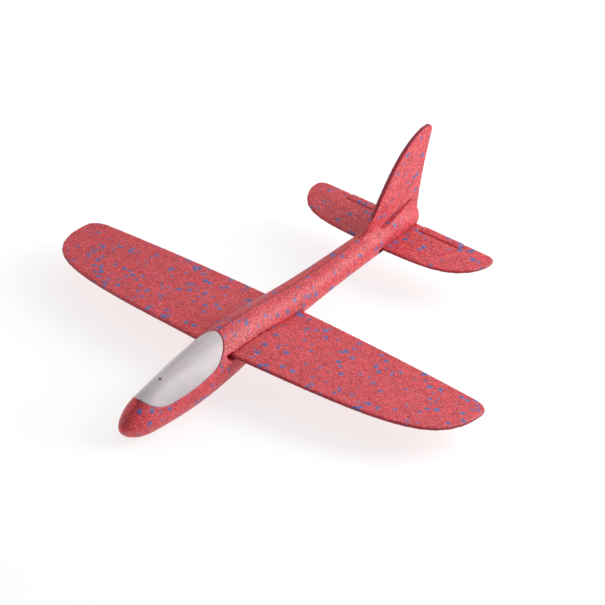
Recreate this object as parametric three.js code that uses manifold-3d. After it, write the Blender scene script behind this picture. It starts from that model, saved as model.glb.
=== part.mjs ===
// Hand-launched foam glider with a plug-in wing, a plug-in tailplane with two trim flaps,
// and a battery light under a milky canopy.
//
// Millimetres. +Z is up, the nose points along -Y and the port wing along +X.
// The origin is on the ground plane, midway between the nose and the fin's rear tip.

import * as THREE from 'three';
import { mergeVertices } from 'three/addons/utils/BufferGeometryUtils.js';
import Module from 'manifold-3d';

const wasm = await Module();
wasm.setup();

// ---------------------------------------------------------------- driving dimensions

const GAP = 0.35;                    // running and assembly clearance
const HULL_LENGTH = 470;
const NOSE_TIP = -237.5;              // along Y, before the whole glider is centred
const CENTRING = -2.52;              // moves the glider's middle to the origin, along Y
const WING_SPAN = 480;
const TAIL_SPAN = 217;
const FOAM = 4.4;                    // thickness of the wing sheet
const TAIL_FOAM = 4;                 // thickness of the tailplane sheet
const EDGE = 1.6;                    // width of the softened edge of a foam sheet

// Fuselage stations, evenly spaced from nose to tail: half width, height of the crest, of the
// widest point and of the keel, and how peaked the crest is (2 is round, less is sharper).
const STATIONS = [
  [13.0, 31.0, 19.2, 2.0, 2.2],
  [19.1, 47.4, 20.8, 0.5, 1.6],
  [24.0, 56.0, 25.8, 2.4, 1.55],
  [24.5, 61.4, 31.9, 7.8, 1.65],
  [21.9, 62.1, 36.9, 15.0, 1.85],
  [19.1, 58.8, 39.5, 22.0, 2],
  [17.4, 56.9, 41.1, 27.2, 2],
  [15.7, 57.9, 43.4, 30.3, 2],
  [14.4, 59.7, 45.4, 32.0, 2],
  [13.1, 61.2, 47.2, 33.4, 2],
  [11.8, 61.6, 48.6, 35.4, 2],
];
const HULL_SIDES = 40;
const HULL_RINGS = 44;
const BELLY_SQUARENESS = 2.2;        // superellipse power of the cross-section below its widest point
const NOSE_ROUND = 34;               // length of the nose dome
const TAIL_ROUND = 19;               // length of the rounded tail end
const NOSE_CLEFT = { back: -203, front: -230, backWidth: 6, frontWidth: 1.6, flatness: 0.42 };

const WING = {
  y: -38, z: 39.3, pitch: -0.055,    // centre of the chord and nose-up incidence in radians
  leading: -60.6, trailing: 57.1,   // edges at the root, from the chord centre
  tipPower: 3.9, edgePower: 3.08, bow: 0.06, corner: 16, tipReach: 0.4,
  droop: 8,                         // the tips hang this far below the centre
  swell: 3.2, swellFlat: 38, swellFade: 80, swellPeak: 0.38,
  columns: 30, rows: 12,
};
const WING_SLOT_AHEAD = 5;           // length of the slot in front of the wing

const TAIL = {
  y: 191.5, z: 42.4, pitch: 0.02,
  leading: -33.8, trailing: 28.5,
  tipPower: 4.7, edgePower: 2, bow: 0.03, corner: 10, tipReach: 1.2,
  droop: 0,
  swell: 0, swellFlat: 1, swellFade: 2, swellPeak: 0.5,
  columns: 20, rows: 8,
};
const TAIL_SLOT_AHEAD = 6;

const FLAP_INNER = 20;               // trim flap, from the centreline to its inner end
const FLAP_OUTER = 69;
const FLAP_CHORD = 9;                // from the hinge line to the tailplane's trailing edge
const FLAP_PROUD = 1;                // the flap stands this far behind the trailing edge

const FIN_BASE = 57.5;
const FIN_TOP = 146.8;
const FIN_ROOT = 48;                 // the fin starts inside the boom
const FIN_HALF = 2.6;
const FIN_LEADING = { foot: 141, sweep: 56.8, curl: 33, curlPower: 5, bend: 0.59, toe: 10, toeFade: 0.06 };
const FIN_TRAILING = { foot: 231, sweep: 13.5, power: 1.8, corner: 8, cornerPart: 0.09 };
const FIN_FLARE = {
  rear: 231, length: 90, fade: 52, least: 2.5, more: 8.5, rise: 6.5, widest: 11, rearFade: 30,
};
const FIN_COLUMNS = 8;
const FIN_ROWS = 22;
const STUNT_SLOT = { y: 191.5, z: 65.4, length: 70, height: 5, pitch: 0.16 };

// Side view of the canopy's edge, from the front tip round to the rear top.
const CANOPY_EDGE = [
  [-210.7, 46], [-210.3, 39.6], [-205.4, 35.4], [-197.3, 32], [-187, 30.3], [-170, 31.4],
  [-152.7, 33.6], [-136, 36.7], [-125, 39.4], [-116, 43.3], [-104.4, 52], [-98.8, 58], [-96, 62.5],
  [-95.5, 66],
];
const CANOPY_WALL = 1.4;
const CANOPY_SEAM = 0.35;
const PIT = { y: -181.5, radius: 1.55, depth: 1.9, bore: 0.95, boss: 2.4, bossFoot: 27.5 };

const TRAY = { y0: -186, y1: -124, halfWidth: 11, z0: 14, z1: 28.8, wall: 1.2 };
const TRAY_BOSS = { radius: 2.5, top: 27, bore: 1 };
const BOARD = { y0: -168, y1: -126, halfWidth: 9.5, z: 29.2, thickness: 1 };
const LED = { radius: 2.5, flange: 2.9, height: 6.2, first: -158, pitch: 12 };
const CELL = { radius: 5.8, length: 5.2, gap: 0.3, first: -149.6, z: 21.4 };
const CONTACT = { width: 8, thickness: 0.5, height: 12.6 };

const PLATE = { y: -177, length: 46, halfWidth: 8, thickness: 2.2 };
const SWITCH = { y: -165, half: 4, height: 7.2, bore: 2.7, boreTop: 6.4 };
const BUTTON = { radius: 2.35, foot: 0.7, top: 4.9 };
const WIRE = { radius: 0.6, x: 2, hole: 1.1 };
const WEIGHT = { radius: 7, y0: -213.5, y1: -195.5, z: 19.8 };

// ---------------------------------------------------------------- solids

function toSolid(geometry) {
  const bare = geometry.clone();
  bare.deleteAttribute('normal');
  bare.deleteAttribute('uv');
  const merged = mergeVertices(bare, 1e-4);
  return new wasm.Manifold(new wasm.Mesh({
    numProp: 3,
    vertProperties: new Float32Array(merged.attributes.position.array),
    triVerts: new Uint32Array(merged.index.array),
  }));
}

function toGeometry(solid) {
  const mesh = solid.getMesh();
  const geometry = new THREE.BufferGeometry();
  geometry.setAttribute('position', new THREE.BufferAttribute(mesh.vertProperties, 3));
  geometry.setIndex(new THREE.BufferAttribute(mesh.triVerts, 1));
  geometry.computeVertexNormals();
  return geometry;
}

function boxBetween(low, high) {
  const size = high.map((value, i) => value - low[i]);
  const geometry = new THREE.BoxGeometry(...size);
  return geometry.translate(...low.map((value, i) => value + size[i] / 2));
}

// An outline in the side view (Y, Z), extruded along X between two stations.
function sidePrism(shape, x0, x1) {
  const geometry = new THREE.ExtrudeGeometry(shape, { depth: x1 - x0, bevelEnabled: false });
  const axes = new THREE.Matrix4().makeBasis(
    new THREE.Vector3(0, 1, 0), new THREE.Vector3(0, 0, 1), new THREE.Vector3(1, 0, 0));
  return geometry.applyMatrix4(axes).translate(x0, 0, 0);
}

function upright(radius, z0, z1, x, y, sides = 20) {
  const geometry = new THREE.CylinderGeometry(radius, radius, z1 - z0, sides);
  return geometry.rotateX(Math.PI / 2).translate(x, y, (z0 + z1) / 2);
}

function lengthways(radius, y0, y1, z, sides = 24) {
  const geometry = new THREE.CylinderGeometry(radius, radius, y1 - y0, sides);
  return geometry.translate(0, (y0 + y1) / 2, z);
}

// ---------------------------------------------------------------- fuselage shape

const widthCurve = new THREE.CatmullRomCurve3(
  STATIONS.map(([halfWidth, , waist]) => new THREE.Vector3(halfWidth, waist, 0)),
  false, 'catmullrom', 0.5);
const heightCurve = new THREE.CatmullRomCurve3(
  STATIONS.map(([, crest, , keel, power]) => new THREE.Vector3(crest, keel, power)),
  false, 'catmullrom', 0.5);

function roundEnd(distance, length) {
  const short = 1 - Math.min(distance / length, 1);
  return Math.sqrt(Math.max(0, 1 - short * short));
}

function hullSection(y) {
  const along = THREE.MathUtils.clamp((y - NOSE_TIP) / HULL_LENGTH, 0, 1);
  const width = widthCurve.getPoint(along);
  const height = heightCurve.getPoint(along);
  const fromNose = along * HULL_LENGTH;
  const taper = roundEnd(fromNose, NOSE_ROUND) * roundEnd(HULL_LENGTH - fromNose, TAIL_ROUND);
  return {
    halfWidth: width.x * taper,
    waist: width.y,
    above: (height.x - width.y) * taper,
    below: (width.y - height.y) * taper,
    crownPower: height.z,
  };
}

function hullTop(y) {
  const section = hullSection(y);
  return section.waist + section.above;
}

function hullGeometry(inset) {
  const geometry = new THREE.SphereGeometry(1, HULL_SIDES, HULL_RINGS);
  const points = geometry.attributes.position;
  for (let i = 0; i < points.count; i++) {
    const y = NOSE_TIP + (points.getY(i) + 1) * HULL_LENGTH / 2;
    const section = hullSection(y);
    const around = Math.atan2(points.getZ(i), points.getX(i));
    const isCrown = points.getZ(i) > 0;
    const power = 2 / (isCrown ? section.crownPower : BELLY_SQUARENESS);
    const reach = Math.max((isCrown ? section.above : section.below) - inset, 0);
    const cosine = Math.cos(around);
    const out = Math.sign(cosine) * Math.max(section.halfWidth - inset, 0) * Math.abs(cosine) ** power;
    const rise = Math.sign(points.getZ(i)) * reach * Math.abs(Math.sin(around)) ** power;
    points.setXYZ(i, out, y, section.waist + rise);
  }
  return geometry;
}

// Edges of the fin in the side view, at a part s of the way up it.
function finLeading(s) {
  const { foot, sweep, curl, curlPower, bend, toe, toeFade } = FIN_LEADING;
  const up = Math.max(s, 0);
  const rounding = curl * (1 - Math.max(1 - up ** curlPower, 0) ** bend);
  return foot + sweep * up + rounding - toe * Math.exp(-up / toeFade);
}

function finTrailing(s) {
  const { foot, sweep, power, corner, cornerPart } = FIN_TRAILING;
  const into = THREE.MathUtils.clamp((s - 1 + cornerPart) / cornerPart, 0, 1);
  return foot + sweep * Math.max(s, 0) ** power - corner * (1 - Math.sqrt(1 - into * into));
}

// Half thickness of the fin: a flat sheet that flares out into the boom at its foot.
function finHalf(y, z, leading) {
  const forward = THREE.MathUtils.clamp((FIN_FLARE.rear - y) / FIN_FLARE.length, 0, 1);
  const behindLeading = THREE.MathUtils.smoothstep(y, leading, leading + FIN_FLARE.fade);
  const beforeRear = 1 - THREE.MathUtils.smoothstep(y, FIN_FLARE.rear - FIN_FLARE.rearFade, FIN_FLARE.rear);
  const flare = (FIN_FLARE.least + FIN_FLARE.more * forward) * behindLeading * beforeRear;
  const half = FIN_HALF + flare * Math.exp((FIN_BASE - z) / FIN_FLARE.rise);
  return Math.min(half, FIN_HALF + (FIN_FLARE.widest - FIN_HALF) * beforeRear);
}

function finGeometry() {
  const geometry = new THREE.BoxGeometry(1, 1, 1, 1, FIN_COLUMNS, FIN_ROWS);
  const points = geometry.attributes.position;
  for (let i = 0; i < points.count; i++) {
    const up = points.getZ(i) + 0.5;
    const z = FIN_ROOT + (FIN_TOP - FIN_ROOT) * Math.sin(up * Math.PI / 2) ** 1.2;
    const s = (z - FIN_BASE) / (FIN_TOP - FIN_BASE);
    const leading = finLeading(Math.min(s, 0.995));
    const trailing = finTrailing(Math.min(s, 0.995));
    const y = leading + (trailing - leading) * (points.getY(i) + 0.5);
    points.setXYZ(i, 2 * points.getX(i) * finHalf(y, z, leading), y, z);
  }
  return geometry;
}

// ---------------------------------------------------------------- wing and tailplane sheets

function leadingEdge(sheet, span, x) {
  const part = Math.min(Math.abs(x) / (span / 2 + sheet.tipReach), 1);
  const chord = sheet.trailing - sheet.leading;
  const left = 1 - part ** sheet.tipPower;
  return sheet.trailing - chord * left ** (1 / sheet.edgePower) + sheet.bow * Math.abs(x) * left;
}

function trailingEdge(sheet, span, x) {
  const part = THREE.MathUtils.clamp(1 - (span / 2 - Math.abs(x)) / sheet.corner, 0, 1);
  return sheet.trailing - sheet.corner * (1 - Math.sqrt(1 - part * part));
}

// Rise of the upper surface over the plain sheet, near the root.
function swellAt(sheet, x, chordPart) {
  const out = (Math.abs(x) - sheet.swellFlat) / (sheet.swellFade - sheet.swellFlat);
  const fade = 1 - THREE.MathUtils.smoothstep(out, 0, 1);
  const part = THREE.MathUtils.clamp(chordPart, 0, 1);
  const skewed = part ** (Math.log(0.5) / Math.log(sheet.swellPeak));
  return sheet.swell * fade * Math.sin(Math.PI * skewed) ** 2;
}

// Positions along a length, with a narrow first and last step for the softened edges.
function edgedSteps(low, high, count) {
  const steps = [low];
  for (let i = 0; i <= count - 2; i++) {
    steps.push(low + EDGE + (high - low - 2 * EDGE) * i / (count - 2));
  }
  steps.push(high);
  return steps;
}

function spanSteps(span, count) {
  const inner = edgedSteps(-span / 2, span / 2, count);
  return inner.map((x) => (Math.abs(x) > span / 2 - 2 * EDGE
    ? x
    : (span / 2 - EDGE) * Math.sin(x / span * Math.PI)));
}

function sheetGeometry(sheet, span, thickness) {
  const { columns, rows } = sheet;
  const geometry = new THREE.BoxGeometry(1, 1, 1, columns, rows, 1);
  const points = geometry.attributes.position;
  const xs = spanSteps(span, columns);
  for (let i = 0; i < points.count; i++) {
    const column = Math.round((points.getX(i) + 0.5) * columns);
    const row = Math.round((points.getY(i) + 0.5) * rows);
    const x = xs[column];
    const front = leadingEdge(sheet, span, x);
    const y = edgedSteps(front, trailingEdge(sheet, span, x), rows)[row];
    const isEdge = column === 0 || column === columns || row === 0 || row === rows;
    const half = isEdge ? thickness / 2 - 0.8 * EDGE : thickness / 2;
    const chordPart = (y - sheet.leading) / (sheet.trailing - sheet.leading);
    const rise = swellAt(sheet, x, chordPart) * (points.getZ(i) > 0 ? 1 : 0.35);
    const droop = sheet.droop * (2 * x / span) ** 2;
    points.setXYZ(i, x, y, 2 * points.getZ(i) * half + rise - droop);
  }
  return geometry;
}

// Side outline of the slot that a sheet is pushed through.
function slotShape(sheet, thickness, ahead) {
  const low = sheet.leading - ahead;
  const high = sheet.trailing + GAP;
  const steps = 14;
  const upper = [];
  const lower = [];
  for (let i = 0; i <= steps; i++) {
    const y = low + (high - low) * i / steps;
    const chordPart = (y - sheet.leading) / (sheet.trailing - sheet.leading);
    const rise = swellAt(sheet, 0, chordPart);
    upper.push(new THREE.Vector2(y, thickness / 2 + rise + 1.4 * GAP));
    lower.push(new THREE.Vector2(y, -thickness / 2 + 0.35 * rise - 1.6 * GAP));
  }
  return new THREE.Shape([...lower, ...upper.reverse()]);
}

function placeSheet(geometry, sheet) {
  return geometry.rotateX(sheet.pitch).translate(0, sheet.y, sheet.z);
}

// ---------------------------------------------------------------- foam pieces

function canopyRegion(seam) {
  const edge = new THREE.SplineCurve(CANOPY_EDGE.map(([y, z]) => new THREE.Vector2(y, z)));
  const outline = edge.getPoints(52).map((p, i, all) => {
    const before = all[Math.max(i - 1, 0)];
    const after = all[Math.min(i + 1, all.length - 1)];
    const normal = new THREE.Vector2(after.y - before.y, before.x - after.x).normalize();
    return p.clone().addScaledVector(normal, seam);
  });
  const first = outline[0];
  const last = outline[outline.length - 1];
  return new THREE.Shape([...outline,
    new THREE.Vector2(last.x + 1, 75), new THREE.Vector2(first.x - 1, 75)]);
}

// The upper slot is a slit, widest at its middle.
function stuntSlot() {
  const { y, z, length, height, pitch } = STUNT_SLOT;
  const shape = new THREE.Shape();
  shape.moveTo(-length / 2, 0);
  shape.quadraticCurveTo(0, -height, length / 2, 0);
  shape.quadraticCurveTo(0, height, -length / 2, 0);
  return sidePrism(shape, -30, 30).rotateX(pitch).translate(0, y, z);
}

// The mould leaves a V-shaped cleft down the middle of the nose, shallower towards the tip.
function noseCleft() {
  const { back, front, backWidth, frontWidth, flatness } = NOSE_CLEFT;
  const start = new THREE.Vector3(0, back, hullTop(back));
  const end = new THREE.Vector3(0, front, hullTop(front));
  const along = end.clone().sub(start);
  const geometry = new THREE.CylinderGeometry(frontWidth, backWidth, along.length(), 4)
    .scale(1, 1, flatness);
  const turn = new THREE.Quaternion().setFromUnitVectors(
    new THREE.Vector3(0, 1, 0), along.clone().normalize());
  const middle = start.clone().add(end).multiplyScalar(0.5);
  return geometry.applyQuaternion(turn).translate(...middle.toArray());
}

function lightBay() {
  const { y0, y1, halfWidth, z0 } = TRAY;
  return boxBetween([-halfWidth - GAP, y0 - GAP, z0 - GAP], [halfWidth + GAP, y1 + GAP, 60]);
}

function bellyCuts() {
  const { y, length, halfWidth, thickness } = PLATE;
  const recess = boxBetween(
    [-halfWidth - GAP, y - length / 2 - GAP, -5],
    [halfWidth + GAP, y + length / 2 + GAP, thickness + GAP]);
  const pocketHalf = SWITCH.half + GAP;
  const pocket = boxBetween(
    [-pocketHalf, SWITCH.y - pocketHalf, 0],
    [pocketHalf, SWITCH.y + pocketHalf, TRAY.z0]);
  return [recess, pocket];
}

function fuselage() {
  const cuts = [
    placeSheet(sidePrism(slotShape(WING, FOAM, WING_SLOT_AHEAD), -40, 40), WING),
    placeSheet(sidePrism(slotShape(TAIL, TAIL_FOAM, TAIL_SLOT_AHEAD), -40, 40), TAIL),
    stuntSlot(),
    noseCleft(),
    sidePrism(canopyRegion(CANOPY_SEAM), -40, 40),
    lightBay(),
    ...bellyCuts(),
    lengthways(WEIGHT.radius + GAP, WEIGHT.y0 - GAP, TRAY.y0, WEIGHT.z),
  ];
  const body = toSolid(hullGeometry(0)).add(toSolid(finGeometry()));
  return toGeometry(cuts.reduce((solid, cut) => solid.subtract(toSolid(cut)), body));
}

function tailplane() {
  const hinge = TAIL.trailing - FLAP_CHORD;
  const sheet = toSolid(sheetGeometry(TAIL, TAIL_SPAN, TAIL_FOAM));
  const cuts = [-1, 1].map((side) => {
    const ends = [side * (FLAP_INNER - GAP), side * (FLAP_OUTER + GAP)].sort((a, b) => a - b);
    return boxBetween([ends[0], hinge - TAIL_FOAM / 2 - GAP, -10], [ends[1], hinge + 30, 10]);
  });
  return toGeometry(cuts.reduce((solid, cut) => solid.subtract(toSolid(cut)), sheet));
}

// A flap with a half-round nose on its hinge line, which is the mesh's own X axis.
function flapGeometry() {
  const half = TAIL_FOAM / 2;
  const length = FLAP_CHORD + FLAP_PROUD;
  const shape = new THREE.Shape();
  shape.absarc(0, 0, half, Math.PI / 2, Math.PI * 1.5, false);
  shape.lineTo(length - EDGE, -half);
  shape.lineTo(length, -half + 0.8 * EDGE);
  shape.lineTo(length, half - 0.8 * EDGE);
  shape.lineTo(length - EDGE, half);
  shape.closePath();
  const inner = -(FLAP_OUTER - FLAP_INNER) / 2;
  return sidePrism(shape, inner, -inner);
}

// ---------------------------------------------------------------- canopy and light

function canopy() {
  const shell = toSolid(hullGeometry(0))
    .intersect(toSolid(sidePrism(canopyRegion(0), -40, 40)))
    .subtract(toSolid(hullGeometry(CANOPY_WALL)));
  const top = hullTop(PIT.y);
  const boss = toSolid(upright(PIT.boss, PIT.bossFoot, top - CANOPY_WALL / 2, 0, PIT.y));
  const bore = toSolid(upright(PIT.bore, 0, 80, 0, PIT.y));
  const pit = toSolid(upright(PIT.radius, top - PIT.depth, 80, 0, PIT.y));
  return toGeometry(shell.add(boss).subtract(bore).subtract(pit));
}

function canopyScrew() {
  const seat = hullTop(PIT.y) - PIT.depth + 0.3;
  const foot = TRAY.z0 + 3.2;
  const profile = [
    [0, foot], [0.25, foot], [0.65, foot + 1.4], [0.65, seat], [1.25, seat], [1.25, seat + 0.9],
    [0.9, seat + 1.3], [0, seat + 1.3],
  ];
  const lathe = new THREE.LatheGeometry(profile.map(([r, z]) => new THREE.Vector2(r, z)), 16);
  return lathe.rotateX(Math.PI / 2).translate(0, PIT.y, 0);
}

function lightTray() {
  const { y0, y1, halfWidth, z0, z1, wall } = TRAY;
  const outer = toSolid(boxBetween([-halfWidth, y0, z0], [halfWidth, y1, z1]));
  const inner = toSolid(boxBetween(
    [wall - halfWidth, y0 + wall, z0 + wall], [halfWidth - wall, y1 - wall, z1 + 5]));
  const boss = toSolid(upright(TRAY_BOSS.radius, z0 + wall / 2, TRAY_BOSS.top, 0, PIT.y));
  const bore = toSolid(upright(TRAY_BOSS.bore, z0 + wall + 1, z1 + 5, 0, PIT.y));
  const holes = [-1, 1].map((side) => toSolid(
    upright(WIRE.hole, z0 - 2, z0 + wall + 2, side * WIRE.x * 1.2, SWITCH.y, 12)));
  const box = outer.subtract(inner).add(boss).subtract(bore);
  return toGeometry(holes.reduce((solid, hole) => solid.subtract(hole), box));
}

function ledGeometry() {
  const { radius, flange, height } = LED;
  const dome = new THREE.Path();
  dome.absarc(0, height - radius, radius, 0, Math.PI / 2, false);
  const profile = [
    new THREE.Vector2(0, 0), new THREE.Vector2(flange, 0), new THREE.Vector2(flange, 1),
    new THREE.Vector2(radius, 1), ...dome.getPoints(5).slice(0, -1),
    new THREE.Vector2(0, height),
  ];
  return new THREE.LatheGeometry(profile, 16).rotateX(Math.PI / 2);
}

function cellGeometry() {
  const rim = 0.5;
  const half = CELL.length / 2;
  const profile = [
    [0, -half], [CELL.radius - 1.4, -half], [CELL.radius - 1.4, -half + rim],
    [CELL.radius, -half + rim], [CELL.radius, half - 0.3], [CELL.radius - 0.3, half], [0, half],
  ];
  return new THREE.LatheGeometry(profile.map(([r, y]) => new THREE.Vector2(r, y)), 24);
}

// A contact plate that stands on the tray floor and reaches up to the board.
function contactGeometry() {
  const { width, thickness, height } = CONTACT;
  return boxBetween([-width / 2, -thickness / 2, 0], [width / 2, thickness / 2, height]);
}

// ---------------------------------------------------------------- switch and belly plate

function bellyPlate() {
  const { y, length, halfWidth, thickness } = PLATE;
  const shape = new THREE.Shape();
  const straight = length / 2 - halfWidth;
  shape.absarc(0, straight, halfWidth, 0, Math.PI, false);
  shape.absarc(0, -straight, halfWidth, Math.PI, Math.PI * 2, false);
  const plate = new THREE.ExtrudeGeometry(shape,
    { depth: thickness, bevelEnabled: false, curveSegments: 10 }).translate(0, y, 0);
  const hole = upright(SWITCH.bore, -2, thickness + 2, 0, SWITCH.y);
  return toGeometry(toSolid(plate).subtract(toSolid(hole)));
}

function switchBody() {
  const low = PLATE.thickness + GAP;
  const { y, half, height, bore, boreTop } = SWITCH;
  const body = boxBetween([-half, y - half, low], [half, y + half, low + height]);
  const hole = upright(bore, 0, boreTop, 0, y);
  return toGeometry(toSolid(body).subtract(toSolid(hole)));
}

function wire(side) {
  const low = PLATE.thickness + SWITCH.height + 2 * GAP;
  const route = new THREE.CatmullRomCurve3([
    new THREE.Vector3(side * WIRE.x, SWITCH.y, low),
    new THREE.Vector3(side * WIRE.x * 1.2, SWITCH.y, TRAY.z0 + 0.6),
    new THREE.Vector3(side * WIRE.x * 1.5, SWITCH.y, BOARD.z - 6),
    new THREE.Vector3(side * WIRE.x * 1.5, SWITCH.y, BOARD.z - GAP),
  ]);
  const section = new THREE.Shape();
  section.absarc(0, 0, WIRE.radius, 0, Math.PI * 2, false);
  return new THREE.ExtrudeGeometry(section,
    { extrudePath: route, steps: 12, curveSegments: 4, bevelEnabled: false });
}

// ---------------------------------------------------------------- materials and scene

function finish(color, roughness, metalness = 0) {
  return new THREE.MeshStandardMaterial({ color, roughness, metalness });
}

function piece(name, geometry, material, position = [0, 0, 0]) {
  const mesh = new THREE.Mesh(geometry, material);
  mesh.name = name;
  mesh.position.set(...position);
  return mesh;
}

function foamRed() {
  return finish(0xd2404a, 0.85);
}

const glider = new THREE.Group();
glider.position.y = CENTRING;

glider.add(piece('fuselage', fuselage(), foamRed()));

const wingFrame = new THREE.Group();
wingFrame.position.set(0, WING.y, WING.z);
wingFrame.rotation.x = WING.pitch;
wingFrame.add(piece('main_wing', sheetGeometry(WING, WING_SPAN, FOAM), foamRed()));
glider.add(wingFrame);

const tailFrame = new THREE.Group();
tailFrame.position.set(0, TAIL.y, TAIL.z);
tailFrame.rotation.x = TAIL.pitch;
tailFrame.add(piece('tailplane', tailplane(), foamRed()));
for (const [name, side] of [['elevator_port', 1], ['elevator_starboard', -1]]) {
  const middle = side * (FLAP_INNER + FLAP_OUTER) / 2;
  tailFrame.add(piece(name, flapGeometry(), foamRed(), [middle, TAIL.trailing - FLAP_CHORD, 0]));
}
glider.add(tailFrame);

glider.add(piece('canopy', canopy(), finish(0xd9d0d4, 0.3)));
glider.add(piece('canopy_screw', canopyScrew(), finish(0x2b2b2e, 0.35, 0.9)));
glider.add(piece('light_tray', lightTray(), finish(0xe9e9e6, 0.5)));
glider.add(piece('led_board', boxBetween(
  [-BOARD.halfWidth, BOARD.y0, BOARD.z],
  [BOARD.halfWidth, BOARD.y1, BOARD.z + BOARD.thickness]), finish(0x2f6b3c, 0.45)));
['led_front', 'led_middle', 'led_rear'].forEach((name, i) => {
  const y = LED.first + i * LED.pitch;
  glider.add(piece(name, ledGeometry(), finish(0xf3f3ee, 0.15), [0, y, BOARD.z + BOARD.thickness + GAP]));
});
['cell_front', 'cell_middle', 'cell_rear'].forEach((name, i) => {
  const y = CELL.first + i * (CELL.length + CELL.gap) + CELL.length / 2;
  glider.add(piece(name, cellGeometry(), finish(0xb9bcc0, 0.3, 0.95), [0, y, CELL.z]));
});
const cellsEnd = CELL.first + 3 * CELL.length + 2 * CELL.gap;
const contactPlaces = [
  ['contact_negative', CELL.first - CELL.gap - CONTACT.thickness / 2],
  ['contact_positive', cellsEnd + CELL.gap + CONTACT.thickness / 2],
];
for (const [name, y] of contactPlaces) {
  const foot = TRAY.z0 + TRAY.wall + GAP;
  glider.add(piece(name, contactGeometry(), finish(0xc8a860, 0.35, 0.9), [0, y, foot]));
}

glider.add(piece('belly_plate', bellyPlate(), finish(0xe2e0de, 0.5)));
glider.add(piece('switch_body', switchBody(), finish(0x1d1d20, 0.5)));
glider.add(piece('switch_button',
  upright(BUTTON.radius, BUTTON.foot, BUTTON.top, 0, SWITCH.y), finish(0x1b1b1e, 0.5)));
glider.add(piece('switch_wire_red', wire(1), finish(0xb3202a, 0.5)));
glider.add(piece('switch_wire_black', wire(-1), finish(0x18181a, 0.5)));
glider.add(piece('nose_weight', lengthways(WEIGHT.radius, WEIGHT.y0, WEIGHT.y1, WEIGHT.z),
  finish(0x8a8d92, 0.45, 0.9)));

export default glider;
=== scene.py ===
"""Looks of the foam hand-launch glider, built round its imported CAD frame.

Metres, +Z up, nose along -Y, port wing along +X.
"""

import math

import bmesh
import bpy
import numpy as np
from mathutils import Matrix, Vector, kdtree, noise
from mathutils.bvhtree import BVHTree


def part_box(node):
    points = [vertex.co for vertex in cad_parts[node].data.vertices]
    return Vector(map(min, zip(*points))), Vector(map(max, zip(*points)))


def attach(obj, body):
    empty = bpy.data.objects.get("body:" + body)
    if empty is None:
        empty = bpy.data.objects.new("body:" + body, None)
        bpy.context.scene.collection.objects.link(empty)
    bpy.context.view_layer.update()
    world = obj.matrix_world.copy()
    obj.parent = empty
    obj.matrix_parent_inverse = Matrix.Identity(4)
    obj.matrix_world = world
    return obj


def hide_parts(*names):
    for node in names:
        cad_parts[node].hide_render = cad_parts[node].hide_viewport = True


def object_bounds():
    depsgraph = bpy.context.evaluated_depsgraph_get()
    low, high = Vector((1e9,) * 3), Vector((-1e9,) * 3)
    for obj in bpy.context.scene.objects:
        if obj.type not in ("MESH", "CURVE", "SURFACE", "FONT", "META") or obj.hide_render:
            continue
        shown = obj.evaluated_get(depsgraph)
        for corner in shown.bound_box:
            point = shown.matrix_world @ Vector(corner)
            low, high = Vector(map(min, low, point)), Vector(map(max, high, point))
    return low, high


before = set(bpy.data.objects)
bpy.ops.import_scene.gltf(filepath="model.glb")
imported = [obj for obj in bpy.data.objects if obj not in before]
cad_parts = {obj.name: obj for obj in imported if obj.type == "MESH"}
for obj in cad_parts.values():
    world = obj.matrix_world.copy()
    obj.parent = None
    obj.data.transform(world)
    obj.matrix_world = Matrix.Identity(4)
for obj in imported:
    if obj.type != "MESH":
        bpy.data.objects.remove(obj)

CAD_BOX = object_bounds()
MM = 0.001

# Camera, degrees and metres
AZIMUTH = 33.57                   # round the glider from straight ahead of its nose
ELEVATION = 32.70
ROLL = 5.55
DISTANCE = 3.6496
LENS = 226.89                     # millimetres, on a 36 mm sensor
AIM = (0, -33.07 * MM, 33 * MM)   # the point in the glider's middle plane that is looked at
AIM_RIGHT = 43.8 * MM             # how far the view is then moved
AIM_UP = 24.7 * MM

# Shape of the foam
BEAD = 5.2 * MM                   # mean size of an expanded bead
BEAD_BEND = 1.2 * MM              # how far the borders between beads wander
BEND_SIZE = 3.0 * MM
PATTERN_PLACE = (0, 216 * MM, 144 * MM)   # which part of the endless pattern the foam shows
RELIEF = 0.13 * MM                # height of a bead over its borders
VOXEL = 0.9 * MM                  # mesh size of the foam pieces
CANOPY_VOXEL = 0.5 * MM
SHARP = math.radians(30)          # CAD edges sharper than this stay edges
EDGE_NEAR = 1.0 * MM              # no smoothing closer to an edge than this
EDGE_FAR = 5.0 * MM               # full smoothing from here

# Colours of the foam, linear
RED_LOW = (0.44, 0.012, 0.026)    # the beads' reds lie between these two
RED_HIGH = (0.62, 0.022, 0.038)
RED_MOTTLE = (0.66, 0.044, 0.046)
GRAIN_LIGHT = (0.84, 0.14, 0.18)
GRAIN_DARK = (0.30, 0.008, 0.020)
SPECKLE = (0.88, 0.30, 0.35)
BORDER = (0.30, 0.010, 0.022)
BLUE_EDGE = (0.11, 0.09, 0.26)
BLUE_MIDDLE = (0.022, 0.085, 0.30)
BLUE_GRAIN = (0.13, 0.27, 0.50)
SHADE_AND_SKIN = (0.25, 0.004, 0.016)       # dark crimson for painted shade on sheet and fin edges, the nose crease and the canopy groove, and for the parting line's darker skin
SHADE_AND_SKIN_COVER = 0.78

# Seam between the fuselage and the canopy
SEAM_REACH = 6 * MM               # foam further past the canopy than this isn't measured
LIP_NEAR = 0.7 * MM               # foam closer to the canopy than this is drawn to it
LIP_FAR = 2.0 * MM                # foam further than this stays
FRONT_NEAR = 0.5 * MM             # at the canopy's front both are larger by these
FRONT_FAR = 2.2 * MM
LIP_PULL = 0.85                   # part of the way to the canopy
REAR_START = 34 * MM              # from here to REAR_FULL before the canopy's end the lip fades
REAR_FULL = 14 * MM               # into an open groove
GROOVE_SHADE = (1.3 * MM, 2.4 * MM)     # painted shade in the open groove fades between these distances
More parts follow.
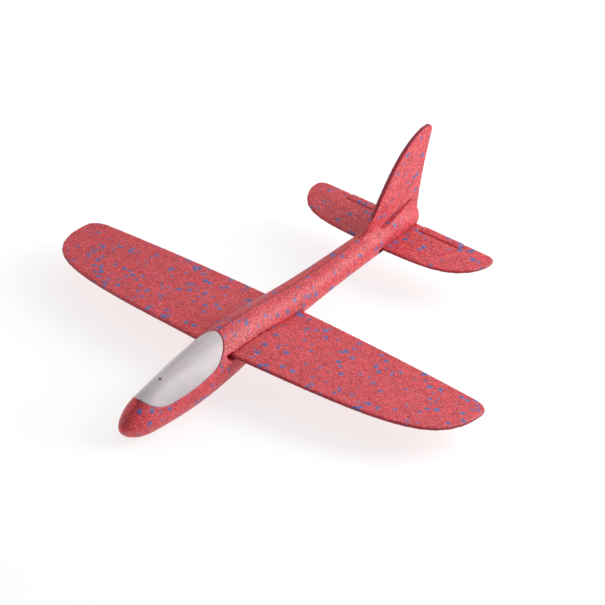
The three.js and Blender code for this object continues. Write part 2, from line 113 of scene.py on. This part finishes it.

# Parting line along the boom's top
RIDGE_WANDER = 0.9 * MM
RIDGE_RISE = 0.5 * MM
RIDGE_UNIT = 0.34 * MM            # width of the ridge's flat top, and the unit of its section
RIDGE_START = 2.5 * MM            # behind the canopy
RIDGE_END = 38 * MM               # ahead of the tailplane
RIDGE_STEPS = 420
RIDGE_FADE = 12                   # steps over which it rises at either end
ABOVE = 0.3                       # a height over the whole glider

# Studio
FLOOR_HALF = 12.0
FLOOR_DROP = 0.05 * MM
FLOOR_GREY = 0.3
FLOOR_GLOW = 0.75
WORLD_LIGHT = 0.36


# ---------------------------------------------------------------- mesh helpers

def bake_modifiers(obj):
    """Makes the object's mesh what its modifiers give, and removes them."""
    graph = bpy.context.evaluated_depsgraph_get()
    mesh = bpy.data.meshes.new_from_object(obj.evaluated_get(graph))
    obj.modifiers.clear()
    obj.data = mesh


def new_object(name, mesh):
    obj = bpy.data.objects.new(name, mesh)
    bpy.context.scene.collection.objects.link(obj)
    return obj


def welded_copy(node):
    """A bmesh of a CAD node with its split vertices joined."""
    work = bmesh.new()
    work.from_mesh(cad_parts[node].data)
    bmesh.ops.remove_doubles(work, verts=work.verts, dist=0.002 * MM)
    bmesh.ops.recalc_face_normals(work, faces=work.faces)
    return work


def edge_tree(work):
    """A search tree of points along the outward edges of a CAD solid."""
    points = []
    for edge in work.edges:
        if len(edge.link_faces) == 2 and edge.calc_face_angle_signed() > SHARP:
            start, end = (v.co for v in edge.verts)
            steps = max(1, round((end - start).length / MM))
            points += [start.lerp(end, i / steps) for i in range(steps + 1)]
    tree = kdtree.KDTree(max(len(points), 1))
    for i, point in enumerate(points):
        tree.insert(point, i)
    tree.balance()
    return tree


def coordinates(mesh):
    """The vertices' places, one row each."""
    flat = np.empty(len(mesh.vertices) * 3, np.float32)
    mesh.vertices.foreach_get("co", flat)
    return flat.reshape(-1, 3).astype(float)


def set_coordinates(mesh, points):
    mesh.vertices.foreach_set("co", points.astype(np.float32).ravel())
    mesh.update()


def normals(mesh):
    """The vertices' normals, one row each."""
    flat = np.empty(len(mesh.vertices) * 3, np.float32)
    mesh.vertices.foreach_get("normal", flat)
    return flat.reshape(-1, 3).astype(float)


def smooth_points(mesh, weights, rounds):
    """Moves each vertex half way to the middle of its neighbours, rounds times."""
    pairs = np.empty(len(mesh.edges) * 2, np.int32)
    mesh.edges.foreach_get("vertices", pairs)
    a, b = pairs.reshape(-1, 2).T
    count = len(mesh.vertices)
    ends = np.concatenate([a, b])
    others = np.concatenate([b, a])
    valence = np.bincount(ends, minlength=count)[:, None]
    points = coordinates(mesh)
    for _ in range(rounds):
        sums = [np.bincount(ends, points[others, k], count) for k in range(3)]
        middle = np.stack(sums, 1) / np.maximum(valence, 1)
        points += 0.5 * weights[:, None] * (middle - points)
    set_coordinates(mesh, points)


def smoothstep(value, low, high):
    """0 at low and 1 at high, with a smooth rise between them."""
    t = np.clip((value - low) / (high - low), 0, 1)
    return t * t * (3 - 2 * t)


def moulded_copy(node, name, voxel, rounds, last_rounds=2):
    """The CAD node's shape remeshed finely, smooth between its edges, with soft edges.

    The rounds smooth away from the edges only, and the last rounds smooth everywhere.
    """
    work = welded_copy(node)
    tree = edge_tree(work)
    mesh = bpy.data.meshes.new(name)
    work.to_mesh(mesh)
    work.free()
    obj = new_object(name, mesh)
    remesh = obj.modifiers.new("remesh", "REMESH")
    remesh.mode = "VOXEL"
    remesh.voxel_size = voxel
    remesh.use_smooth_shade = True
    bake_modifiers(obj)
    distance = np.array([tree.find(v.co)[2] for v in obj.data.vertices])
    smooth_points(obj.data, smoothstep(distance, EDGE_NEAR, EDGE_FAR), rounds)
    smooth_points(obj.data, np.ones(len(distance)), last_rounds)
    return obj


def store(mesh, name, values):
    """Keeps a number for each vertex as a named attribute."""
    attribute = mesh.attributes.new(name, "FLOAT", "POINT")
    attribute.data.foreach_set("value", values.astype(np.float32))


# ---------------------------------------------------------------- node helpers

def link(tree, source, target):
    tree.links.new(source, target)


def math_node(tree, operation, first, second=0.0):
    node = tree.nodes.new("ShaderNodeMath")
    node.operation = operation
    for socket, value in zip(node.inputs, (first, second)):
        if isinstance(value, (int, float)):
            socket.default_value = value
        else:
            link(tree, value, socket)
    return node.outputs[0]


def ramp(tree, value, low, high, start=0.0, end=1.0):
    """value mapped smoothly from low..high to start..end."""
    node = tree.nodes.new("ShaderNodeMapRange")
    node.interpolation_type = "SMOOTHSTEP"
    link(tree, value, node.inputs["Value"])
    for socket, number in zip(("From Min", "From Max", "To Min", "To Max"), (low, high, start, end)):
        node.inputs[socket].default_value = number
    return node.outputs["Result"]


def noise_value(tree, position, size, detail=2.0, output="Fac"):
    node = tree.nodes.new("ShaderNodeTexNoise")
    node.inputs["Scale"].default_value = 1 / size
    node.inputs["Detail"].default_value = detail
    link(tree, position, node.inputs["Vector"])
    return node.outputs[output]


def mix_colour(tree, factor, first, second):
    node = tree.nodes.new("ShaderNodeMix")
    node.data_type = "RGBA"
    if isinstance(factor, float):
        node.inputs[0].default_value = factor
    else:
        link(tree, factor, node.inputs[0])
    for socket, value in ((node.inputs[6], first), (node.inputs[7], second)):
        if isinstance(value, tuple):
            socket.default_value = (*value, 1.0)
        else:
            link(tree, value, socket)
    return node.outputs[2]


def bead_cells(tree, position):
    """The foam's beads: three random numbers for each bead, the distance to its border and the
    distance to its middle, both in bead sizes."""
    bend = noise_value(tree, position, BEND_SIZE, 1.0, "Color")
    bent = tree.nodes.new("ShaderNodeVectorMath")
    bent.operation = "MULTIPLY_ADD"
    bent.inputs[1].default_value = (2 * BEAD_BEND,) * 3
    link(tree, bend, bent.inputs[0])
    link(tree, position, bent.inputs[2])
    moved = tree.nodes.new("ShaderNodeVectorMath")
    moved.operation = "SUBTRACT"
    moved.inputs[1].default_value = [BEAD_BEND + place for place in PATTERN_PLACE]
    link(tree, bent.outputs[0], moved.inputs[0])
    cells = {}
    for feature in ("F1", "DISTANCE_TO_EDGE"):
        node = tree.nodes.new("ShaderNodeTexVoronoi")
        node.feature = feature
        node.inputs["Scale"].default_value = 1 / BEAD
        link(tree, moved.outputs[0], node.inputs["Vector"])
        cells[feature] = node.outputs
    kind = "ShaderNodeSeparateColor" if tree.type == "SHADER" else "FunctionNodeSeparateColor"
    split = tree.nodes.new(kind)
    link(tree, cells["F1"]["Color"], split.inputs[0])
    border = cells["DISTANCE_TO_EDGE"]["Distance"]
    return list(split.outputs)[:3], border, cells["F1"]["Distance"]


def bead_relief_nodes():
    """Geometry nodes that raise each bead over its borders, except where the foam is painted with shade
    or with the parting line's skin.
    """
    tree = bpy.data.node_groups.new("bead_relief", "GeometryNodeTree")
    tree.interface.new_socket("Geometry", in_out="INPUT", socket_type="NodeSocketGeometry")
    tree.interface.new_socket("Geometry", in_out="OUTPUT", socket_type="NodeSocketGeometry")
    entry = tree.nodes.new("NodeGroupInput")
    leave = tree.nodes.new("NodeGroupOutput")
    place = tree.nodes.new("GeometryNodeSetPosition")
    position = tree.nodes.new("GeometryNodeInputPosition").outputs[0]
    border = bead_cells(tree, position)[1]
    flat = tree.nodes.new("GeometryNodeInputNamedAttribute")
    flat.data_type = "FLOAT"
    flat.inputs["Name"].default_value = "painted_shade_and_skin"
    depth = ramp(tree, border, 0.0, 0.25, -RELIEF, 0.0)
    beaded = math_node(tree, "SUBTRACT", 1.0, flat.outputs["Attribute"])
    height = math_node(tree, "MULTIPLY", depth, beaded)
    offset = tree.nodes.new("ShaderNodeVectorMath")
    offset.operation = "SCALE"
    link(tree, tree.nodes.new("GeometryNodeInputNormal").outputs[0], offset.inputs[0])
    link(tree, height, offset.inputs["Scale"])
    link(tree, entry.outputs[0], place.inputs["Geometry"])
    link(tree, offset.outputs[0], place.inputs["Offset"])
    link(tree, place.outputs[0], leave.inputs[0])
    return tree


# ---------------------------------------------------------------- materials

def blank_material(name):
    """A material with one Principled shader, and the place on the object that it is read at."""
    material = bpy.data.materials.new(name)
    material.use_nodes = True
    tree = material.node_tree
    tree.nodes.clear()
    output = tree.nodes.new("ShaderNodeOutputMaterial")
    shader = tree.nodes.new("ShaderNodeBsdfPrincipled")
    link(tree, shader.outputs[0], output.inputs["Surface"])
    position = tree.nodes.new("ShaderNodeTexCoord").outputs["Object"]
    return material, tree, shader, position


def bump(tree, shader, height, strength, distance):
    node = tree.nodes.new("ShaderNodeBump")
    node.inputs["Strength"].default_value = strength
    node.inputs["Distance"].default_value = distance
    link(tree, height, node.inputs["Height"])
    link(tree, node.outputs[0], shader.inputs["Normal"])


def foam_material():
    """Expanded polypropylene: fused red beads with a few blue ones among them."""
    material, tree, shader, position = blank_material("epp_foam")
    (tone, chance, width), border, middle = bead_cells(tree, position)
    grain = noise_value(tree, position, 1.9 * MM, 3.0)
    speckle = noise_value(tree, position, 1.6 * MM, 1.0)
    mottle = noise_value(tree, position, 9 * MM, 3.0)
    clump = noise_value(tree, position, 15 * MM, 1.0)

    red = mix_colour(tree, ramp(tree, tone, 0.0, 1.0), RED_LOW, RED_HIGH)
    red = mix_colour(tree, ramp(tree, mottle, 0.38, 0.62, 0.0, 0.55), red, RED_MOTTLE)
    red = mix_colour(tree, ramp(tree, grain, 0.50, 0.70, 0.0, 0.5), red, GRAIN_LIGHT)
    red = mix_colour(tree, ramp(tree, grain, 0.34, 0.50, 0.55, 0.0), red, GRAIN_DARK)
    red = mix_colour(tree, ramp(tree, speckle, 0.60, 0.74, 0.0, 0.5), red, SPECKLE)
    red = mix_colour(tree, ramp(tree, border, 0.0, 0.08, 0.2, 0.0), red, BORDER)

    # Roughly one bead in seven is blue, more of them where they clump, each with a soft round edge
    clumped = math_node(tree, "ADD", chance, ramp(tree, clump, 0.35, 0.70, -0.07, 0.12))
    chosen = ramp(tree, clumped, 0.83, 0.91)
    radius = ramp(tree, width, 0.0, 1.0, 0.46, 0.74)
    depth = math_node(tree, "SUBTRACT", radius, middle)
    amount = math_node(tree, "MULTIPLY", chosen, ramp(tree, depth, -0.06, 0.26, 0.0, 0.92))
    blue = mix_colour(tree, ramp(tree, depth, 0.0, 0.35), BLUE_EDGE, BLUE_MIDDLE)
    blue = mix_colour(tree, ramp(tree, grain, 0.48, 0.68, 0.0, 0.6), blue, BLUE_GRAIN)
    colour = mix_colour(tree, amount, red, blue)

    # Painted shade on edges, in the nose crease and in the canopy groove, with the parting line's darker
    # skin, mixed in by the stored mask
    painted_shade_and_skin = tree.nodes.new("ShaderNodeAttribute")
    painted_shade_and_skin.attribute_name = "painted_shade_and_skin"
    shade_and_skin_colour = mix_colour(tree, SHADE_AND_SKIN_COVER, colour, SHADE_AND_SKIN)
    colour = mix_colour(tree, painted_shade_and_skin.outputs["Fac"], colour, shade_and_skin_colour)
    link(tree, colour, shader.inputs["Base Color"])
    link(tree, ramp(tree, grain, 0.3, 0.7, 0.58, 0.40), shader.inputs["Roughness"])
    shader.inputs["Specular IOR Level"].default_value = 0.55
    shader.inputs["Sheen Weight"].default_value = 0.08
    shader.inputs["Sheen Roughness"].default_value = 0.5
    shader.inputs["Subsurface Weight"].default_value = 0.06
    shader.inputs["Subsurface Radius"].default_value = (1.0, 0.3, 0.25)
    shader.inputs["Subsurface Scale"].default_value = 1.5 * MM
    fine = math_node(tree, "ADD", grain, ramp(tree, border, 0.0, 0.2, 0.0, 0.8))
    bump(tree, shader, fine, 0.5, 0.25 * MM)
    return material


def canopy_material():
    """Milky moulded plastic that passes light but no clear picture."""
    material, tree, shader, position = blank_material("milky_canopy")
    cloud = noise_value(tree, position, 24 * MM, 2.0)
    tint = noise_value(tree, position, 17 * MM, 1.0, "Color")
    split = tree.nodes.new("ShaderNodeSeparateColor")
    link(tree, tint, split.inputs[0])
    white = mix_colour(tree, ramp(tree, cloud, 0.35, 0.68), (0.66, 0.55, 0.565), (0.72, 0.605, 0.62))
    pink = ramp(tree, split.outputs[0], 0.38, 0.66, 0.0, 0.8)
    colour = mix_colour(tree, pink, white, (0.75, 0.54, 0.60))
    link(tree, colour, shader.inputs["Base Color"])
    haze = ramp(tree, noise_value(tree, position, 5 * MM), 0.3, 0.7, 0.30, 0.40)
    link(tree, haze, shader.inputs["Roughness"])
    shader.inputs["Subsurface Weight"].default_value = 0.8
    shader.inputs["Subsurface Radius"].default_value = (1.0, 0.9, 0.9)
    shader.inputs["Subsurface Scale"].default_value = 11 * MM
    shader.inputs["Sheen Weight"].default_value = 0.3
    shader.inputs["Sheen Roughness"].default_value = 0.5
    shader.inputs["Coat Weight"].default_value = 0.1
    shader.inputs["Coat Roughness"].default_value = 0.25
    bump(tree, shader, noise_value(tree, position, 1.2 * MM, 2.0), 0.04, 0.1 * MM)
    return material


def plain_material(name, dark, light, roughness, metallic=0.0, grain=0.8 * MM, transmission=0.0):
    """A moulded plastic or a metal: two close colours, fine texture and uneven gloss."""
    material, tree, shader, position = blank_material(name)
    texture = noise_value(tree, position, grain, 3.0)
    patches = noise_value(tree, position, 8 * grain, 2.0)
    link(tree, mix_colour(tree, ramp(tree, patches, 0.3, 0.7), dark, light), shader.inputs["Base Color"])
    gloss = ramp(tree, texture, 0.3, 0.7, roughness - 0.08, roughness + 0.08)
    link(tree, gloss, shader.inputs["Roughness"])
    shader.inputs["Metallic"].default_value = metallic
    shader.inputs["Transmission Weight"].default_value = transmission
    bump(tree, shader, texture, 0.15, 0.05 * MM)
    return material


def give(obj, material):
    obj.data.materials.clear()
    obj.data.materials.append(material)


# ---------------------------------------------------------------- foam pieces

def sheet_edge_shade(mesh):
    """1 on the edge of a foam sheet, where its faces turn sideways: painted shade, as those faces turn
    from the light above.
    """
    return 1 - smoothstep(np.abs(normals(mesh)[:, 2]), 0.30, 0.85)


RELIEF_NODES = bead_relief_nodes()
FOAM = foam_material()

canopy_low, canopy_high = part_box("canopy")
nose_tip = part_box("fuselage")[0].y
tail_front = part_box("tailplane")[0].y


def finish_foam(obj, node, body, painted_shade_and_skin):
    """Embosses the beads, gives the foam's looks, and puts the piece in the CAD node's place."""
    store(obj.data, "painted_shade_and_skin", painted_shade_and_skin)
    modifier = obj.modifiers.new("relief", "NODES")
    modifier.node_group = RELIEF_NODES
    bake_modifiers(obj)
    obj.data.polygons.foreach_set("use_smooth", np.ones(len(obj.data.polygons), bool))
    give(obj, FOAM)
    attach(obj, body)
    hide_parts(node)


def ridge_offset(y):
    """How far to port the parting line of the mould wanders at a place along the boom."""
    return RIDGE_WANDER * noise.noise((0.0, y / (6 * MM), 3.0))


def towards_rear(y):
    """0 at the canopy's front and sides, and 1 at its rear, where the groove is open."""
    return smoothstep(y, canopy_high.y - REAR_START, canopy_high.y - REAR_FULL)


def draw_lip(points):
    """Draws the foam's lip to the canopy, and returns how near each point was to the canopy."""
    seam = BVHTree.FromObject(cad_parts["canopy"], bpy.context.evaluated_depsgraph_get())
    beside = (points[:, 1] < canopy_high.y + SEAM_REACH) & (points[:, 2] > canopy_low.z - SEAM_REACH)
    near = np.full(len(points), 1.0)
    for i in np.nonzero(beside)[0]:
        y = points[i, 1]
        place, _, _, near[i] = seam.find_nearest(points[i])
        front = 1 - smoothstep(y, canopy_low.y + 4 * MM, canopy_low.y + 12 * MM)
        pull = 1 - smoothstep(near[i], LIP_NEAR + FRONT_NEAR * front, LIP_FAR + FRONT_FAR * front)
        rear = towards_rear(y)
        if pull > 0 and rear < 1:
            points[i] += (1 - rear) * pull * LIP_PULL * (np.array(place) - points[i])
    return near


def crease_shade(x):
    """Painted shade on the port side of the crease down the nose, where its wall turns from the light: a
    narrow line and a wide fade.
    """
    line = 0.5 * (1 - smoothstep(x, 1.0 * MM, 2.2 * MM))
    fade = 0.45 * (1 - smoothstep(x, 2.0 * MM, 9.0 * MM))
    return (line + fade) * smoothstep(x, -0.9 * MM, 0.2 * MM)


def make_fuselage():
    obj = moulded_copy("fuselage", "fuselage_foam", VOXEL, 40)
    points = coordinates(obj.data)
    facing = normals(obj.data)
    x, y, z = points.T

    nose = smoothstep(y, canopy_low.y + 3 * MM, canopy_low.y - 1 * MM)
    nose *= smoothstep(y, nose_tip + 0.5 * MM, nose_tip + 4 * MM)
    above = smoothstep(facing[:, 2], 0.1, 0.4)
    # Painted shade on the fin's edge faces, those that face neither side
    fin_edge_shade = smoothstep(z, 72 * MM, 78 * MM) * (1 - smoothstep(np.abs(facing[:, 0]), 0.45, 0.9))

    near = draw_lip(points)
    set_coordinates(obj.data, points)
    # Painted shade in the open groove at the canopy's rear
    groove_shade = (1 - smoothstep(near, *GROOVE_SHADE)) * towards_rear(y)
    # Painted shade in the nose crease, on its upward faces
    crease_shade_mask = crease_shade(x) * nose * above
    aside = np.abs(x - [ridge_offset(value) for value in y])
    parting = 0.95 * (1 - smoothstep(aside, 0.5 * MM, 1.3 * MM)) * smoothstep(facing[:, 2], 0.5, 0.8)
    parting *= (y > canopy_high.y) & (y < tail_front - RIDGE_END)
    finish_foam(obj, "fuselage", "airframe", np.maximum.reduce([fin_edge_shade, groove_shade, crease_shade_mask, parting]))
    return obj


def make_sheet(node, name, body):
    obj = moulded_copy(node, name, VOXEL, 30)
    finish_foam(obj, node, body, sheet_edge_shade(obj.data))


def make_parting_ridge(fuselage):
    """The raised line that the two mould halves leave along the top of the boom."""
    surface = BVHTree.FromObject(fuselage, bpy.context.evaluated_depsgraph_get())
    start = canopy_high.y + RIDGE_START
    end = tail_front - RIDGE_END
    verts, faces = [], []
    for i in range(RIDGE_STEPS + 1):
        y = start + (end - start) * i / RIDGE_STEPS
        x = ridge_offset(y)
        width = RIDGE_UNIT * (1 + 0.5 * noise.noise((7.0, y / (3 * MM), 0.0)))
        fade = min(1.0, i / RIDGE_FADE, (RIDGE_STEPS - i) / RIDGE_FADE)
        rise = RIDGE_RISE * (0.75 + 0.5 * noise.noise((1.0, y / (4 * MM), 9.0))) * fade
        top = surface.ray_cast(Vector((x, y, ABOVE)), Vector((0, 0, -1)))[0].z
        section = ((-1.6, -0.4 * MM), (-0.5, rise), (0.5, rise), (1.6, -0.4 * MM), (0, -1.1 * MM))
        for side, up in section:
            verts.append((x + side * width, y, top + up))
        if i:
            a, b = 5 * (i - 1), 5 * i
            faces += [(a + k, b + k, b + (k + 1) % 5, a + (k + 1) % 5) for k in range(5)]
    faces += [(0, 1, 2, 3, 4), tuple(5 * RIDGE_STEPS + k for k in (4, 3, 2, 1, 0))]
    mesh = bpy.data.meshes.new("parting_ridge")
    mesh.from_pydata(verts, [], faces)
    obj = new_object("parting_ridge", mesh)
    store(mesh, "painted_shade_and_skin", np.ones(len(verts)))
    give(obj, FOAM)
    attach(obj, "airframe")


fuselage_foam = make_fuselage()
make_sheet("main_wing", "wing_foam", "wing")
make_sheet("tailplane", "tail_foam", "tail")
make_sheet("elevator_port", "flap_port_foam", "flap_port")
make_sheet("elevator_starboard", "flap_starboard_foam", "flap_starboard")
make_parting_ridge(fuselage_foam)


# ---------------------------------------------------------------- canopy and CAD nodes

def make_canopy():
    obj = moulded_copy("canopy", "canopy_shell", CANOPY_VOXEL, 60, 1)
    give(obj, canopy_material())
    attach(obj, "airframe")
    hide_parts("canopy")


make_canopy()

NODE_MATERIALS = {
    ("canopy_screw",): plain_material("black_steel", (0.02, 0.02, 0.022), (0.05, 0.05, 0.055), 0.35, 0.9),
    ("light_tray",): plain_material("white_plastic", (0.72, 0.72, 0.70), (0.80, 0.80, 0.78), 0.5),
    ("led_board",): plain_material("circuit_board", (0.02, 0.11, 0.04), (0.035, 0.16, 0.06), 0.4),
    ("led_front", "led_middle", "led_rear"): plain_material(
        "led_lens", (0.84, 0.84, 0.80), (0.90, 0.90, 0.87), 0.15, 0.0, 0.5 * MM, 0.6),
    ("cell_front", "cell_middle", "cell_rear"): plain_material(
        "cell_steel", (0.50, 0.50, 0.52), (0.60, 0.60, 0.62), 0.25, 1.0, 0.3 * MM),
    ("contact_negative", "contact_positive"): plain_material(
        "contact_brass", (0.52, 0.36, 0.13), (0.62, 0.44, 0.17), 0.3, 1.0, 0.3 * MM),
    ("belly_plate",): plain_material("grey_plastic", (0.66, 0.65, 0.64), (0.74, 0.73, 0.72), 0.45),
    ("switch_body", "switch_button"): plain_material(
        "black_plastic", (0.012, 0.012, 0.014), (0.022, 0.022, 0.025), 0.45),
    ("switch_wire_red",): plain_material("red_wire", (0.42, 0.015, 0.02), (0.52, 0.025, 0.03), 0.4),
    ("switch_wire_black",): plain_material("black_wire", (0.01, 0.01, 0.012), (0.02, 0.02, 0.022), 0.4),
    ("nose_weight",): plain_material(
        "cast_weight", (0.20, 0.20, 0.22), (0.30, 0.31, 0.33), 0.5, 1.0, 0.6 * MM),
}
for names, material in NODE_MATERIALS.items():
    for node_name in names:
        give(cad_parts[node_name], material)


# ---------------------------------------------------------------- studio

def make_floor():
    corners = [(-1, -1), (1, -1), (1, 1), (-1, 1)]
    mesh = bpy.data.meshes.new("studio_floor")
    mesh.from_pydata([(FLOOR_HALF * x, FLOOR_HALF * y, 0) for x, y in corners], [], [(0, 1, 2, 3)])
    obj = new_object("studio_floor", mesh)
    obj.location.z = CAD_BOX[0].z - FLOOR_DROP
    material, _, shader, _ = blank_material("studio_floor")
    shader.inputs["Base Color"].default_value = (FLOOR_GREY, FLOOR_GREY, FLOOR_GREY, 1)
    shader.inputs["Emission Color"].default_value = (1, 1, 1, 1)
    shader.inputs["Emission Strength"].default_value = FLOOR_GLOW
    shader.inputs["Roughness"].default_value = 0.9
    shader.inputs["Specular IOR Level"].default_value = 0.0
    give(obj, material)


def area_light(name, direction, distance, size, power):
    """A square soft box, in metres and watts, that faces the glider from a direction."""
    light = bpy.data.lights.new(name, "AREA")
    light.shape = "SQUARE"
    light.size = size
    light.energy = power
    obj = bpy.data.objects.new(name, light)
    bpy.context.scene.collection.objects.link(obj)
    towards = Vector(direction).normalized()
    obj.location = towards * distance
    obj.rotation_mode = "QUATERNION"
    obj.rotation_quaternion = towards.to_track_quat("Z", "Y")


def make_studio():
    make_floor()
    area_light("key_light", (0.85, 0.74, 0.68), 1.45, 1.0, 19.5)
    area_light("top_light", (-0.05, 0.90, 1.0), 1.7, 1.8, 8.5)
    area_light("fill_light", (-0.9, -0.5, 0.45), 2.0, 1.8, 8.5)
    world = bpy.data.worlds.new("studio")
    world.use_nodes = True
    background = world.node_tree.nodes["Background"]
    background.inputs["Color"].default_value = (1, 1, 1, 1)
    background.inputs["Strength"].default_value = WORLD_LIGHT
    bpy.context.scene.world = world
    bpy.context.scene.view_settings.view_transform = "Standard"


def make_camera():
    """The view along AZIMUTH and ELEVATION. The camera is moved sideways, so it needs no shift."""
    azimuth, elevation, roll = (math.radians(a) for a in (AZIMUTH, ELEVATION, ROLL))
    back = Vector((
        math.sin(azimuth) * math.cos(elevation),
        -math.cos(azimuth) * math.cos(elevation),
        math.sin(elevation)))
    level = Vector((math.cos(azimuth), math.sin(azimuth), 0))
    upward = back.cross(level)
    right = math.cos(roll) * level + math.sin(roll) * upward
    up = math.cos(roll) * upward - math.sin(roll) * level
    camera = bpy.data.cameras.new("photo_camera")
    camera.lens = LENS
    camera.sensor_width = 36
    obj = bpy.data.objects.new("photo_camera", camera)
    bpy.context.scene.collection.objects.link(obj)
    aim = Vector(AIM) + AIM_RIGHT * right + AIM_UP * up
    turn = Matrix((right, up, back)).transposed().to_4x4()
    obj.matrix_world = Matrix.Translation(aim + DISTANCE * back) @ turn
    bpy.context.scene.camera = obj


make_studio()
make_camera()
